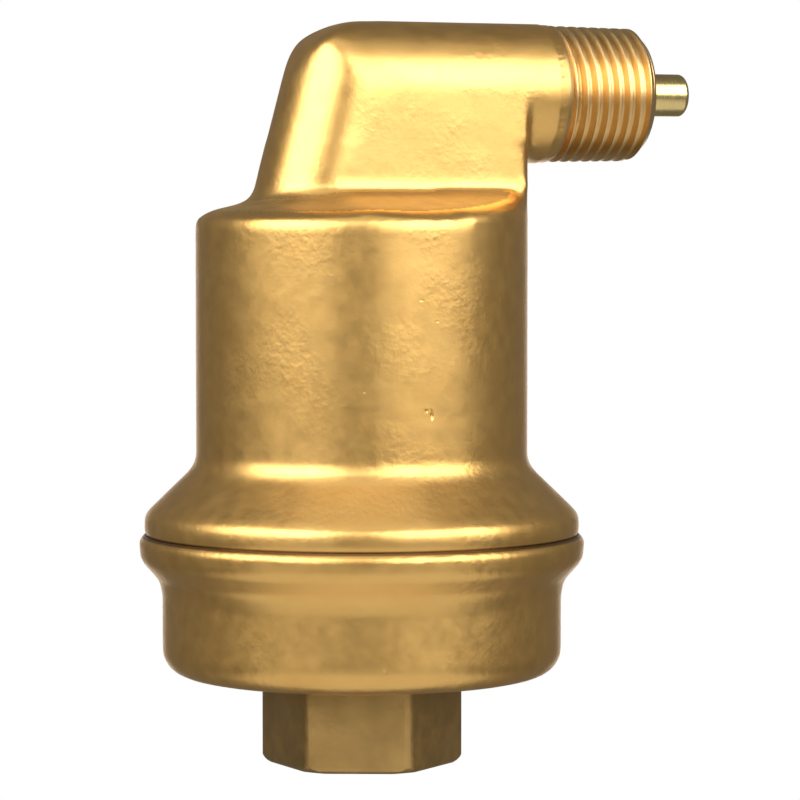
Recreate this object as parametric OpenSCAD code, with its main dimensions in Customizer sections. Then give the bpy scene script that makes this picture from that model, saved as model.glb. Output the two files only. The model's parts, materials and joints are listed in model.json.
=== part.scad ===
// Automatic air vent, all brass, with a horizontal threaded outlet.
// Millimetres. The origin is the mouth of the inlet bore, +Z runs up the barrel, +X along the outlet spigot.
// The float is drawn in its lowest place, with the vent valve open.

/* [Barrel and head] */
// Outside radius of the float barrel
barrel_r = 25.4; // [25:0.1:27]
// Height at which the rim of the barrel starts to round over
barrel_top_z = 82; // [81:0.1:83]
// Radius of the rim between barrel and shoulder
rim_r = 2.8; // [2:0.1:3]
// Slope of the shoulder up to the head, in degrees
shoulder_slope = 12; // [8:1:16]
// Wall of the cast barrel
wall = 3; // [2.6:0.1:3.4]
// Half thickness of the head, which is also the radius of its round top
head_r = 10.8; // [10.8:0.05:11.2]
// Lean of the blind end of the head, in degrees
head_lean = 15; // [12:1:18]
// Foot of the blind end of the head, from the barrel's axis
head_foot = 17; // [16:0.1:18]
// Radius of the top edge of the blind end
head_top_r = 11; // [8:0.5:11.5]
// Radius of the upright edges of the blind end
head_edge_r = 10; // [8:0.5:10.5]

/* [Outlet] */
// Height of the outlet's axis
outlet_z = 102.8; // [102.4:0.1:103.2]
// Radius of the turned part of the spigot before its thread
spigot_root_r = 10.65; // [10.6:0.05:10.75]
// Radius of the half inch male thread, over its crests
outlet_thread_r = 10.5; // [10.4:0.05:10.6]
// Length of that thread, with its lead-in
outlet_thread_len = 12.3; // [11:0.1:13]
// End face of the spigot, from the barrel's axis
spigot_end_x = 45.3; // [44:0.1:47]
// Radius of the bore through the spigot
spigot_bore_r = 6.5; // [6.4:0.05:6.6]
// Outside radius of the vent tube
vent_tube_r = 3.35; // [3.2:0.05:3.5]
// Radius of the tube's inner end, which is pressed into the bush
vent_tube_neck_r = 2.9; // [2.7:0.05:3]
// Bore radius of the vent tube
vent_bore_r = 1.9; // [1.6:0.1:2.1]
// Free end of the vent tube, from the barrel's axis
vent_tube_end_x = 53.8; // [52:0.1:56]

/* [Joint of the two bodies] */
// Height of the seam between the upper and the lower body
seam_z = 35.2; // [35:0.1:35.4]
// Outside radius of the upper body's lip
lip_r = 33.3; // [33:0.1:33.6]
// Outside radius of the lower body's bead
bead_r = 34.1; // [34:0.1:34.6]
// Radius of the closing thread between the bodies
closing_thread_r = 28.5; // [28.3:0.1:28.6]
// Radial play of the plain closing thread
thread_play = 0.1; // [0.05:0.05:0.15]
// Section radius of the body's O-ring
body_seal_r = 1.2; // [1.1:0.05:1.25]

/* [Lower body and inlet] */
// Outside radius of the skirt below the bead
skirt_r = 30.6; // [30.2:0.1:31]
// Height of the skirt's bottom face
skirt_bottom_z = 14.2; // [14.2:0.1:14.6]
// Rounding of the skirt's bottom edge
skirt_edge_r = 4; // [3:0.1:4.2]
// Inside radius of the lower body
lower_bore_r = 25.6; // [25.4:0.1:25.7]
// Inlet hexagon across its flats
hex_flats = 27; // [27:0.5:28]
// Turn of the hexagon about the barrel's axis, in degrees
hex_turn = 8; // [0:1:30]
// Wall radius of the half inch female inlet thread
inlet_thread_r = 9.32; // [9.3:0.01:9.5]
// Depth of that thread
inlet_thread_len = 13.2; // [12:0.1:13.4]

/* [Float and valve gear] */
// Outside radius of the float
float_r = 20; // [19:0.1:20.4]
// Lowest point of the float at rest
float_bottom_z = 20.1; // [20.1:0.1:20.4]
// Height of the float's closed body
float_h = 42; // [40:0.5:43]
// Radius of the float rod
rod_r = 1.25; // [1.2:0.05:1.3]
// Travel of the float between open and closed valve
float_travel = 5; // [4:0.1:5]
// Lever's pivot, from the barrel's axis
pivot_x = 13.9; // [13.8:0.05:14]
// Lever's pivot below the outlet's axis
pivot_drop = 6.2; // [6:0.1:6.4]
// Radius of the two hinge pins
hinge_pin_r = 1; // [0.9:0.05:1.05]
// Running play between pins and their holes
play = 0.05; // [0.03:0.01:0.08]

/* [Hidden] */
$fn = 96;
cut = 0.5;                                   // how far a cutting tool runs past the metal

barrel_bore_r = barrel_r - wall;
rim_centre = [barrel_r - rim_r, barrel_top_z];
rim_end = rim_centre + rim_r * [sin(shoulder_slope), cos(shoulder_slope)];
shoulder_top_r = 8;
shoulder_top_z = rim_end[1] + (rim_end[0] - shoulder_top_r) * tan(shoulder_slope);
head_top_z = outlet_z + head_r;
head_foot_z = 86.4;                          // where the head's foot is measured
head_wall = 5.6;
lean_len = 140;
cast_end_x = 29.3;                           // the spigot is turned from here on

lip_straight = 2.5;                          // upright height of the lip over the seam
flare_low = [lip_r - 1.1, seam_z + 4.2];
flare_high = [barrel_r + 1.2, seam_z + 9.6];
flare_end_z = seam_z + 12;
closing_ring_h = 4.4;
closing_bore_h = 4.8;
flare_wall_x = 5.9;                          // how much smaller the flare is inside than outside
inside_flare_r = lip_r - flare_wall_x;
inside_flare_end_z = seam_z + closing_bore_h + inside_flare_r - barrel_bore_r;

plate_seat_z = 76.2;                         // the guide plate is pressed up against this step
plate_t = 1.2;
plate_r = barrel_bore_r - 0.1;
step_r = 20;
ceiling_z = 80;
ring_t = 1.1;                                // thickness of the retaining rings
ring_depth = 1;                              // how deep they sit in the wall

chamber_r = 7.2;
chamber_end_x = 20.8;

bush_shoulder_x = 20.6;
bush_end_x = spigot_end_x - 1;
bush_r = spigot_bore_r - 0.05;
bush_nose_r = 3.9;
bush_nose_x = 16.6;
seat_face_x = 16;
bush_seal_r = 0.72;
bush_seal_x = 30;
tube_socket_x = 36;
orifice_r = 1.1;

web_t = 1.2;
cheek_in = 3;
cheek_t = 1;
nut_t = 2.2;
pivot_z = outlet_z - pivot_drop;
link_arm = 14;
half_swing = asin(float_travel / 2 / link_arm);
swing = 2 * half_swing;
link_z = pivot_z - link_arm * sin(half_swing);
lever_t = 2.4;
lever_hub_w = 5.6;
arm_end_r = 2.2;
link_hole_r = hinge_pin_r + 0.3;
pad_r = 2.8;
pad_t = 1.4;
clip_t = 0.5;
clevis_gap = lever_t + 0.6;
ear_t = 1;
clevis_foot_z = link_z - 5.4;

insert_top_z = float_bottom_z + float_h + 2.6;
bush_plate_foot_z = plate_seat_z - plate_t - 0.9;
ledge_z = 18.6;
floor_z = 17.4;
floor_r = 21;
baffle_t = 1.2;

brass = "goldenrod";
machined_brass = "gold";
steel = "lightsteelblue";
rubber = "dimgray";

// ---- shared shapes ----

function arc(centre, r, from, to, steps = 6) =
    [for (i = [0 : steps]) let (a = from + (to - from) * i / steps) centre + r * [cos(a), sin(a)]];

module along_x(x, len, r) {
    translate([x, 0, 0]) rotate([0, 90, 0]) cylinder(h = len, r = r);
}

module along_y(len, r) {
    rotate([90, 0, 0]) cylinder(h = len, r = r, center = true);
}

module at_outlet() {
    translate([0, 0, outlet_z]) children();
}

module torus(ring_r, section_r) {
    rotate_extrude() translate([ring_r, 0]) circle(r = section_r, $fn = 32);
}

// A retaining ring: a flat split ring with two eyes beside its gap.
module retaining_ring(outer_r, width, thickness, gap = 9) {
    eye_r = width * 0.62;
    eye_at = outer_r - width * 0.95;
    difference() {
        union() {
            difference() {
                cylinder(h = thickness, r = outer_r);
                translate([0, 0, -cut]) cylinder(h = thickness + 2 * cut, r = outer_r - width);
                translate([0, -gap / 2, -cut]) cube([outer_r + cut, gap, thickness + 2 * cut]);
            }
            for (side = [-1, 1])
                translate([sqrt(eye_at * eye_at - pow(gap / 2 + eye_r, 2)), side * (gap / 2 + eye_r), 0])
                    cylinder(h = thickness, r = eye_r);
        }
        for (side = [-1, 1])
            translate([sqrt(eye_at * eye_at - pow(gap / 2 + eye_r, 2)), side * (gap / 2 + eye_r), -cut])
                cylinder(h = thickness + 2 * cut, r = eye_r * 0.45);
    }
}

// A push-on clip for a pin that lies along Y: a C-shaped washer.
module pin_clip(pin_r) {
    rotate([90, 0, 0])
        difference() {
            cylinder(h = clip_t, r = pin_r + 1, center = true);
            cylinder(h = clip_t + cut, r = pin_r, center = true);
            translate([0, -pin_r * 1.2, 0]) cube([pin_r * 1.2, pin_r * 2.4, clip_t + cut], center = true);
        }
}

module hexagon(flats, h) {
    cylinder(h = h, r = flats / 2 / cos(30), $fn = 6);
}

// ---- housing ----

module upper_shell() {
    rotate_extrude()
        polygon(concat(
            [[0, seam_z], [lip_r - 0.4, seam_z], [lip_r, seam_z + 0.5], [lip_r, seam_z + lip_straight]],
            [[lip_r - 0.3, seam_z + 3.3], flare_low, flare_high],
            [[barrel_r + 0.35, seam_z + 10.8], [barrel_r, flare_end_z]],
            arc(rim_centre, rim_r, 0, 90 - shoulder_slope),
            [[shoulder_top_r, shoulder_top_z], [0, shoulder_top_z]]
        ));
}

// Side view of the head: a leaning blind end, a round top edge and a foot inside the shoulder.
module head_side() {
    root_z = barrel_top_z + 1;
    centre_z = head_top_z - head_top_r;
    centre_x = -head_foot + (head_top_r + sin(head_lean) * (centre_z - head_foot_z)) / cos(head_lean);
    polygon(concat(
        [[barrel_r, root_z], [-head_foot - (head_foot_z - root_z) * tan(head_lean), root_z]],
        arc([centre_x, centre_z], head_top_r, 180 - head_lean, 90, 10),
        [[barrel_r, head_top_z]]
    ));
}

module leaning(x) {
    translate([x, 0, head_foot_z]) rotate([0, head_lean, 0]) children();
}

// A slab cut by the side view, by the round top, by the barrel and by a block with two round edges that lean.
module head_solid() {
    edge_x = -head_foot + head_edge_r / cos(head_lean);
    intersection() {
        rotate([90, 0, 0]) linear_extrude(height = 2 * head_r, center = true) head_side();
        along_x_arch(head_r, -30, barrel_r + 30);
        leaning(edge_x) {
            for (side = [-1, 1])
                translate([0, side * (head_r - head_edge_r), -lean_len / 2]) cylinder(h = lean_len, r = head_edge_r);
            translate([-head_edge_r, -(head_r - head_edge_r), -lean_len / 2])
                cube([2 * head_edge_r, 2 * (head_r - head_edge_r), lean_len]);
            translate([0, -head_r, -lean_len / 2]) cube([60, 2 * head_r, lean_len]);
        }
        cylinder(h = 140, r = barrel_r);
    }
}

// A tunnel shape along X: round on top, upright sides down past the barrel's ceiling.
module along_x_arch(r, from_x, to_x) {
    at_outlet() along_x(from_x, to_x - from_x, r);
    translate([from_x, -r, ceiling_z - cut]) cube([to_x - from_x, 2 * r, outlet_z - ceiling_z + cut]);
}

module spigot() {
    chamfer = 1.4;
    relief_w = 0.7;                          // groove in which the thread runs out
    thread_start_x = spigot_end_x - outlet_thread_len + relief_w;
    at_outlet() {
        along_x(barrel_r - 8, cast_end_x - barrel_r + 8, head_r);
        along_x(barrel_r - 8, thread_start_x - relief_w - barrel_r + 8, spigot_root_r);
        along_x(barrel_r, spigot_end_x - chamfer - barrel_r, outlet_thread_r - 0.9);
        along_x(thread_start_x, spigot_end_x - chamfer - thread_start_x, outlet_thread_r);
        translate([spigot_end_x - chamfer, 0, 0]) rotate([0, 90, 0])
            cylinder(h = chamfer, r1 = outlet_thread_r, r2 = outlet_thread_r - chamfer);
    }
}

module upper_cavity() {
    translate([0, 0, seam_z - cut]) cylinder(h = closing_bore_h + cut, r = closing_thread_r + thread_play);
    translate([0, 0, seam_z + closing_bore_h])
        cylinder(h = inside_flare_r - barrel_bore_r, r1 = inside_flare_r, r2 = barrel_bore_r);
    translate([0, 0, seam_z + closing_bore_h - cut])
        cylinder(h = cut, r = inside_flare_r);
    translate([0, 0, inside_flare_end_z - cut])
        cylinder(h = plate_seat_z - inside_flare_end_z + cut, r = barrel_bore_r);
    translate([0, 0, plate_seat_z - plate_t - ring_t])
        cylinder(h = ring_t, r = barrel_bore_r + ring_depth);
    translate([0, 0, plate_seat_z - cut]) cylinder(h = ceiling_z - plate_seat_z + cut, r = step_r);
    intersection() {
        along_x_arch(chamber_r, -barrel_r, chamber_end_x);
        leaning(-head_foot) translate([head_wall, -head_r, -lean_len / 2]) cube([60, 2 * head_r, lean_len]);
    }
    at_outlet() along_x(chamber_end_x - cut, spigot_end_x - chamber_end_x + 2 * cut, spigot_bore_r);
}

module upper_housing() {
    color(brass)
        difference() {
            union() {
                upper_shell();
                head_solid();
                spigot();
            }
            upper_cavity();
        }
}

module lower_shell() {
    rotate_extrude()
        polygon(concat(
            [[0, skirt_bottom_z]],
            arc([skirt_r - skirt_edge_r, skirt_bottom_z + skirt_edge_r], skirt_edge_r, -90, 0),
            [[skirt_r, seam_z - 9.4], [skirt_r + 0.3, seam_z - 7.7], [skirt_r + 0.65, seam_z - 6.7]],
            [[bead_r - 0.6, seam_z - 4.15], [bead_r - 0.15, seam_z - 3.2]],
            arc([bead_r - 1.2, seam_z - 1.2], 1.2, 0, 90),
            [[closing_thread_r, seam_z], [closing_thread_r, seam_z + closing_ring_h - 0.4],
             [closing_thread_r - 0.4, seam_z + closing_ring_h], [0, seam_z + closing_ring_h]]
        ));
}

module inlet_hexagon() {
    corner_r = hex_flats / 2 / cos(30);
    foot_r = 3.4;
    intersection() {
        rotate([0, 0, hex_turn + 30]) hexagon(hex_flats, skirt_bottom_z + 1);
        union() {
            cylinder(h = foot_r + cut, r = corner_r - foot_r);
            translate([0, 0, foot_r]) torus(corner_r - foot_r, foot_r);
            translate([0, 0, foot_r]) cylinder(h = skirt_bottom_z + 1 - foot_r, r = corner_r + 1);
        }
    }
}

module lower_housing() {
    color(brass)
        difference() {
            union() {
                lower_shell();
                inlet_hexagon();
            }
            translate([0, 0, -cut]) cylinder(h = inlet_thread_len + cut, r = inlet_thread_r);
            translate([0, 0, inlet_thread_len - cut]) cylinder(h = floor_z - inlet_thread_len + 2 * cut, r = 8);
            translate([0, 0, floor_z]) cylinder(h = ledge_z - floor_z + cut, r = floor_r);
            translate([0, 0, ledge_z]) cylinder(h = seam_z + closing_ring_h - ledge_z + cut, r = lower_bore_r);
            translate([0, 0, ledge_z + baffle_t]) cylinder(h = ring_t, r = lower_bore_r + ring_depth);
            translate([0, 0, seam_z - 2 * body_seal_r])
                difference() {
                    cylinder(h = 2 * body_seal_r + cut, r = closing_thread_r + 2 * body_seal_r + 0.1);
                    translate([0, 0, -cut]) cylinder(h = 2 * body_seal_r + 3 * cut, r = closing_thread_r);
                }
        }
}

module housing_o_ring() {
    color(rubber)
        translate([0, 0, seam_z - body_seal_r]) torus(closing_thread_r + body_seal_r + 0.05, body_seal_r - 0.02);
}

// ---- outlet ----

module outlet_bush() {
    color(machined_brass) at_outlet()
        difference() {
            union() {
                along_x(bush_shoulder_x, bush_end_x - bush_shoulder_x, bush_r);
                along_x(bush_nose_x, bush_shoulder_x - bush_nose_x + cut, bush_nose_r);
            }
            along_x(bush_nose_x - cut, bush_end_x - bush_nose_x + 2 * cut, vent_bore_r);
            along_x(bush_nose_x - cut, 3 + cut, 2.6);
            along_x(tube_socket_x, bush_end_x - tube_socket_x + cut, vent_tube_neck_r + play);
            translate([bush_seal_x, 0, 0]) rotate([0, 90, 0])
                difference() {
                    cylinder(h = 2 * bush_seal_r + 0.2, r = bush_r + cut, center = true);
                    cylinder(h = 3, r = bush_r - 2 * bush_seal_r + 0.05, center = true);
                }
            for (turn = [0, 90])
                rotate([turn, 0, 0]) translate([bush_end_x - 1.5, -bush_r - cut, -0.8])
                    cube([1.5 + cut, 2 * (bush_r + cut), 1.6]);
        }
}

module bush_o_ring() {
    color(rubber) at_outlet()
        translate([bush_seal_x, 0, 0]) rotate([0, 90, 0]) torus(bush_r - bush_seal_r + 0.04, bush_seal_r - 0.02);
}

module vent_tube() {
    lip = 0.9;
    color(machined_brass) at_outlet()
        translate([tube_socket_x, 0, 0]) rotate([0, 90, 0]) {
            len = vent_tube_end_x - tube_socket_x;
            neck = bush_end_x - tube_socket_x;
            rotate_extrude()
                polygon(concat(
                    [[vent_bore_r, 0], [vent_tube_neck_r - 0.3, 0], [vent_tube_neck_r, 0.3]],
                    [[vent_tube_neck_r, neck], [vent_tube_r, neck]],
                    arc([vent_tube_r - lip, len - lip], lip, 0, 90),
                    [[vent_bore_r + 0.2, len], [vent_bore_r, len - 0.2]]
                ));
        }
}

module valve_seat() {
    seat_body_r = 2.6;
    color(steel) at_outlet()
        translate([bush_nose_x + 3, 0, 0]) rotate([0, -90, 0])
            rotate_extrude()
                polygon([
                    [orifice_r, 0], [seat_body_r, 0], [seat_body_r, 3], [seat_body_r - 0.5, 3],
                    [orifice_r + 0.6, bush_nose_x - seat_face_x + 3], [orifice_r, bush_nose_x - seat_face_x + 3]
                ]);
}

// ---- valve gear ----

// A bent plate: an upright web clamped against the bush, and two cheeks that carry the lever's pin.
module valve_bracket() {
    web_w = 2 * (cheek_in + cheek_t);
    cheek_low = 2.6;
    cheek_high = 1;                          // low enough to clear the bracket's nut
    eye_r = 2.45;
    color(steel)
        difference() {
            union() {
                translate([bush_shoulder_x - web_t, -web_w / 2, pivot_z - cheek_low])
                    cube([web_t, web_w, outlet_z + 5.2 - pivot_z + cheek_low]);
                for (side = [-1, 1])
                    translate([0, side * (cheek_in + cheek_t / 2), pivot_z]) {
                        translate([pivot_x, 0, 0]) along_y(cheek_t, eye_r);
                        translate([pivot_x, -cheek_t / 2, -cheek_low])
                            cube([bush_shoulder_x - web_t / 2 - pivot_x, cheek_t, cheek_low + cheek_high]);
                    }
            }
            at_outlet() along_x(bush_shoulder_x - web_t - cut, web_t + 2 * cut, bush_nose_r + play);
            translate([pivot_x, 0, pivot_z]) along_y(web_w + cut, hinge_pin_r + play);
        }
}

module bracket_nut() {
    color(machined_brass) at_outlet()
        translate([bush_shoulder_x - web_t, 0, 0]) rotate([0, -90, 0])
            difference() {
                intersection() {
                    rotate([0, 0, 30]) hexagon(10, nut_t);
                    cylinder(h = nut_t, r1 = 5.9, r2 = 5.2);
                }
                translate([0, 0, -cut]) cylinder(h = nut_t + 2 * cut, r = bush_nose_r + play);
            }
}

module lever_pin() {
    color(steel)
        translate([pivot_x, 0, pivot_z])
            difference() {
                along_y(2 * (cheek_in + cheek_t) + 2.4, hinge_pin_r);
                for (side = [-1, 1])
                    translate([0, side * (cheek_in + cheek_t + clip_t / 2 + 0.05), 0])
                        difference() {
                            along_y(clip_t + 0.04, hinge_pin_r + cut);
                            along_y(clip_t + 1, hinge_pin_r - 0.25);
                        }
            }
}

module lever_pin_clips() {
    color(steel)
        for (side = [-1, 1])
            translate([pivot_x, side * (cheek_in + cheek_t + clip_t / 2 + 0.05), pivot_z])
                pin_clip(hinge_pin_r - 0.25);
}

// Lever parts are laid out with the valve shut and then turned open about the pivot.
module turned_open() {
    translate([pivot_x, 0, pivot_z]) rotate([0, -swing, 0]) children();
}

module valve_lever() {
    arm_turn = half_swing;
    cup_room = 3.5;                          // half width of the seat for the pad's cup
    color(steel) turned_open()
        difference() {
            union() {
                along_y(lever_hub_w, 2.4);
                translate([-1.3, -lever_t / 2, 0]) cube([2.4, lever_t, pivot_drop]);
                translate([-1.3, 0, pivot_drop]) rotate([0, 90, 0]) cylinder(h = 1.2, r = 3);
                rotate([0, arm_turn, 0]) {
                    translate([-link_arm, -lever_t / 2, -1.5]) cube([link_arm, lever_t, 3]);
                    translate([-link_arm, 0, 0]) along_y(lever_t, arm_end_r);
                }
                rotate([90, 0, 0]) linear_extrude(height = lever_t, center = true)
                    polygon([[-5.5, 1.5], [0, 0], [-1.3, 4.3]]);
            }
            along_y(lever_hub_w + cut, hinge_pin_r + play);
            rotate([0, arm_turn, 0]) translate([-link_arm, 0, 0]) along_y(lever_t + cut, link_hole_r);
            translate([-2, 0, pivot_drop]) rotate([0, 90, 0]) cylinder(h = 4, r = 0.85);
            translate([-0.1, -cup_room, pivot_drop - cup_room]) cube([2, 2 * cup_room, 2 * cup_room]);
        }
}

// The cup's stem goes through the lever and is riveted over behind it.
module pad_cup() {
    rim = 0.5;
    base_x = -0.1;
    color(machined_brass) turned_open()
        translate([base_x, 0, pivot_drop]) rotate([0, 90, 0])
            difference() {
                union() {
                    cylinder(h = 1.4, r = pad_r + rim);
                    translate([0, 0, -1.2]) cylinder(h = 1.4, r = 0.8);
                    translate([0, 0, -1.9]) cylinder(h = 0.7, r1 = 1, r2 = 1.4);
                }
                translate([0, 0, 0.6]) cylinder(h = 2, r = pad_r);
            }
}

module valve_pad() {
    pad_x = seat_face_x - pivot_x - pad_t;
    color(rubber) turned_open()
        translate([pad_x, 0, pivot_drop]) rotate([0, 90, 0])
            rotate_extrude()
                polygon([[0, 0], [pad_r - 0.02, 0], [pad_r - 0.02, pad_t - 0.25], [pad_r - 0.27, pad_t], [0, pad_t]]);
}

// ---- float ----

module float_shell() {
    skin = 1.4;
    edge = 3;
    foot_r = 5;
    foot_h = 0.9;
    body_z = float_bottom_z + foot_h;
    seam = float_bottom_z + float_h - 2.4;
    color("white")
        difference() {
            union() {
                rotate_extrude()
                    polygon(concat(
                        [[0, body_z]],
                        arc([float_r - edge, body_z + edge], edge, -90, 0),
                        [[float_r, seam], [0, seam]]
                    ));
                translate([0, 0, float_bottom_z]) cylinder(h = foot_h + cut, r = foot_r);
            }
            rotate_extrude()
                polygon(concat(
                    [[0, body_z + skin]],
                    arc([float_r - edge, body_z + edge], edge - skin, -90, 0),
                    [[float_r - skin, seam + cut], [0, seam + cut]]
                ));
        }
}

module float_lid() {
    seam = float_bottom_z + float_h - 2.4;
    top = float_bottom_z + float_h;
    edge = 1.2;
    color("whitesmoke")
        difference() {
            union() {
                rotate_extrude()
                    polygon(concat(
                        [[0, seam], [float_r, seam]],
                        arc([float_r - edge, top - edge], edge, 0, 90),
                        [[0, top]]
                    ));
                translate([0, 0, seam - 1.5]) cylinder(h = 2, r = float_r - 1.45);
                translate([0, 0, seam - 6]) cylinder(h = 7, r = 5);
            }
            translate([0, 0, seam - 7]) cylinder(h = 12, r = 2.6);
            translate([0, 0, seam - 7])
                difference() {
                    cylinder(h = 7.8, r = float_r - 2.9);
                    translate([0, 0, -cut]) cylinder(h = 8.8, r = 5);
                }
        }
}

// Brass insert moulded into the lid, tapped for the rod.
module float_insert() {
    top = insert_top_z;
    foot = float_bottom_z + float_h - 8;
    color(machined_brass)
        difference() {
            union() {
                translate([0, 0, foot]) cylinder(h = top - foot - 1, r = 2.58);
                translate([0, 0, float_bottom_z + float_h]) hexagon(7, top - float_bottom_z - float_h);
            }
            translate([0, 0, foot + 2]) cylinder(h = top - foot, r = rod_r + 0.02);
        }
}

module float_rod() {
    foot = float_bottom_z + float_h - 5.9;
    color(steel)
        translate([0, 0, foot]) cylinder(h = clevis_foot_z + 2.2 - foot, r = rod_r);
}

module rod_lock_nut() {
    h = 1.8;
    color(machined_brass)
        translate([0, 0, clevis_foot_z - h])
            difference() {
                intersection() {
                    hexagon(5.5, h);
                    cylinder(h = h, r1 = 2.9, r2 = 3.4);
                }
                translate([0, 0, -cut]) cylinder(h = h + 2 * cut, r = rod_r + 0.02);
            }
}

module link_clevis() {
    width = 2 * arm_end_r;
    depth = clevis_gap + 2 * ear_t;
    base_h = 2.6;
    color(machined_brass)
        difference() {
            union() {
                translate([-width / 2, -depth / 2, clevis_foot_z]) cube([width, depth, base_h]);
                for (side = [-1, 1])
                    translate([0, side * (clevis_gap + ear_t) / 2, 0]) {
                        translate([-width / 2, -ear_t / 2, clevis_foot_z])
                            cube([width, ear_t, link_z - clevis_foot_z]);
                        translate([0, 0, link_z]) along_y(ear_t, arm_end_r);
                    }
            }
            translate([0, 0, link_z]) along_y(depth + cut, hinge_pin_r + 0.01);
            translate([0, 0, clevis_foot_z - cut]) cylinder(h = 2.2 + cut, r = rod_r + 0.02);
        }
}

module link_pin() {
    reach = clevis_gap / 2 + ear_t;
    color(steel)
        translate([0, 0, link_z])
            difference() {
                along_y(2 * reach + 2.4, hinge_pin_r);
                for (side = [-1, 1])
                    translate([0, side * (reach + clip_t / 2 + 0.05), 0])
                        difference() {
                            along_y(clip_t + 0.04, hinge_pin_r + cut);
                            along_y(clip_t + 1, hinge_pin_r - 0.25);
                        }
            }
}

module link_pin_clips() {
    reach = clevis_gap / 2 + ear_t;
    color(steel)
        for (side = [-1, 1])
            translate([0, side * (reach + clip_t / 2 + 0.05), link_z]) pin_clip(hinge_pin_r - 0.25);
}

// ---- guide and baffle ----

module guide_plate() {
    hole_ring = 13.5;
    holes = 8;
    color(steel)
        translate([0, 0, plate_seat_z - plate_t])
            difference() {
                cylinder(h = plate_t, r = plate_r);
                translate([0, 0, -cut]) cylinder(h = plate_t + 2 * cut, r = 3);
                for (i = [0 : holes - 1])
                    rotate([0, 0, (i + 0.5) * 360 / holes])
                        translate([hole_ring, 0, -cut]) cylinder(h = plate_t + 2 * cut, r = 3.4);
            }
}

module guide_bush() {
    collar_r = 4.2;
    color("ivory")
        difference() {
            union() {
                translate([0, 0, bush_plate_foot_z]) cylinder(h = plate_seat_z + 2.6 - bush_plate_foot_z, r = 2.98);
                translate([0, 0, bush_plate_foot_z]) cylinder(h = 0.9, r = collar_r);
                translate([0, 0, plate_seat_z]) cylinder(h = 0.5, r1 = 3.3, r2 = 2.98);
            }
            translate([0, 0, bush_plate_foot_z - cut])
                cylinder(h = plate_seat_z + 4 - bush_plate_foot_z, r = rod_r + play);
        }
}

module guide_plate_ring() {
    color(steel)
        translate([0, 0, plate_seat_z - plate_t - ring_t + 0.05])
            rotate([0, 0, 90]) retaining_ring(barrel_bore_r + ring_depth - 0.1, 2.6, ring_t - 0.05);
}

// The spring's outer shape: it is shorter when the float rises.
module opening_spring() {
    outer_r = 3.4;
    wire = 0.5;
    color(steel)
        translate([0, 0, insert_top_z])
            difference() {
                cylinder(h = bush_plate_foot_z - insert_top_z, r = outer_r);
                translate([0, 0, -cut]) cylinder(h = bush_plate_foot_z - insert_top_z + 2 * cut, r = outer_r - wire);
            }
}

module inlet_baffle() {
    ring_of_holes = [[9, 6, 2.6], [16.5, 12, 2.8]];
    color(steel)
        translate([0, 0, ledge_z])
            difference() {
                cylinder(h = baffle_t, r = lower_bore_r - 0.1);
                for (row = ring_of_holes, i = [0 : row[1] - 1])
                    rotate([0, 0, i * 360 / row[1]])
                        translate([row[0], 0, -cut]) cylinder(h = baffle_t + 2 * cut, r = row[2]);
            }
}

module baffle_ring() {
    color(steel)
        translate([0, 0, ledge_z + baffle_t + 0.02])
            rotate([0, 0, 200]) retaining_ring(lower_bore_r + ring_depth - 0.1, 2.8, ring_t - 0.05);
}

upper_housing();
lower_housing();
housing_o_ring();
outlet_bush();
bush_o_ring();
vent_tube();
valve_seat();
valve_bracket();
bracket_nut();
lever_pin();
lever_pin_clips();
valve_lever();
pad_cup();
valve_pad();
float_shell();
float_lid();
float_insert();
float_rod();
rod_lock_nut();
link_clevis();
link_pin();
link_pin_clips();
guide_plate();
guide_bush();
guide_plate_ring();
opening_spring();
inlet_baffle();
baffle_ring();
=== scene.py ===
# %% [markdown]
# # A brass automatic air vent, modelled step by step
# An automatic air vent stands at a high point of a heating system. Water comes in through the hexagon at the
# bottom, air gathers in the barrel, the float sinks, and a small valve in the head lets the air out through
# the side outlet. The engineering model of all its parts is loaded here as a fixed frame. This lesson then
# gives the vent its real surface: two castings with foundry roundings, cut threads, a coil spring and brass
# that looks like brass.

# %% Load the frame
import json
import math
import bpy
from mathutils import Matrix, Vector

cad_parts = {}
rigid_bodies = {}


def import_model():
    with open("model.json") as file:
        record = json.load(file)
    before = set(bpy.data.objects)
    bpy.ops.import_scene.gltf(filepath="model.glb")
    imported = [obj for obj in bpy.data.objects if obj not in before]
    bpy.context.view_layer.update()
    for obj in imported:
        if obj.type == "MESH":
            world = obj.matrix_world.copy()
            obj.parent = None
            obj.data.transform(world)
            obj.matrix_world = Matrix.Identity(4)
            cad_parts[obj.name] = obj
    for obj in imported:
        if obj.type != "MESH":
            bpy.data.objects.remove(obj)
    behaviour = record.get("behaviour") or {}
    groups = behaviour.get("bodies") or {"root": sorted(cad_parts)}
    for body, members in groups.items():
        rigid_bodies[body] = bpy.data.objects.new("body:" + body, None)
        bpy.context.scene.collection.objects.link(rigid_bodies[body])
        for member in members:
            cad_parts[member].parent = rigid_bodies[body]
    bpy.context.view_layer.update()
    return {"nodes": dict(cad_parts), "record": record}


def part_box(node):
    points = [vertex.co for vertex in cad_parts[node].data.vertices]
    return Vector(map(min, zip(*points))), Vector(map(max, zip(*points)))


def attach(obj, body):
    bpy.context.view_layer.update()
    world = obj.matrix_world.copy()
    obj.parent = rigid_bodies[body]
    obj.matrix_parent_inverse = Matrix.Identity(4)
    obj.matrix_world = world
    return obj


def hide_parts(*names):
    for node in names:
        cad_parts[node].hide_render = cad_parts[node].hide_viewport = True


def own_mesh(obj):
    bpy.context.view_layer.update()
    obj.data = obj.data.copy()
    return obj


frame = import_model()
mm = 0.001
print("parts in the frame:", len(frame["nodes"]))

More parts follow.
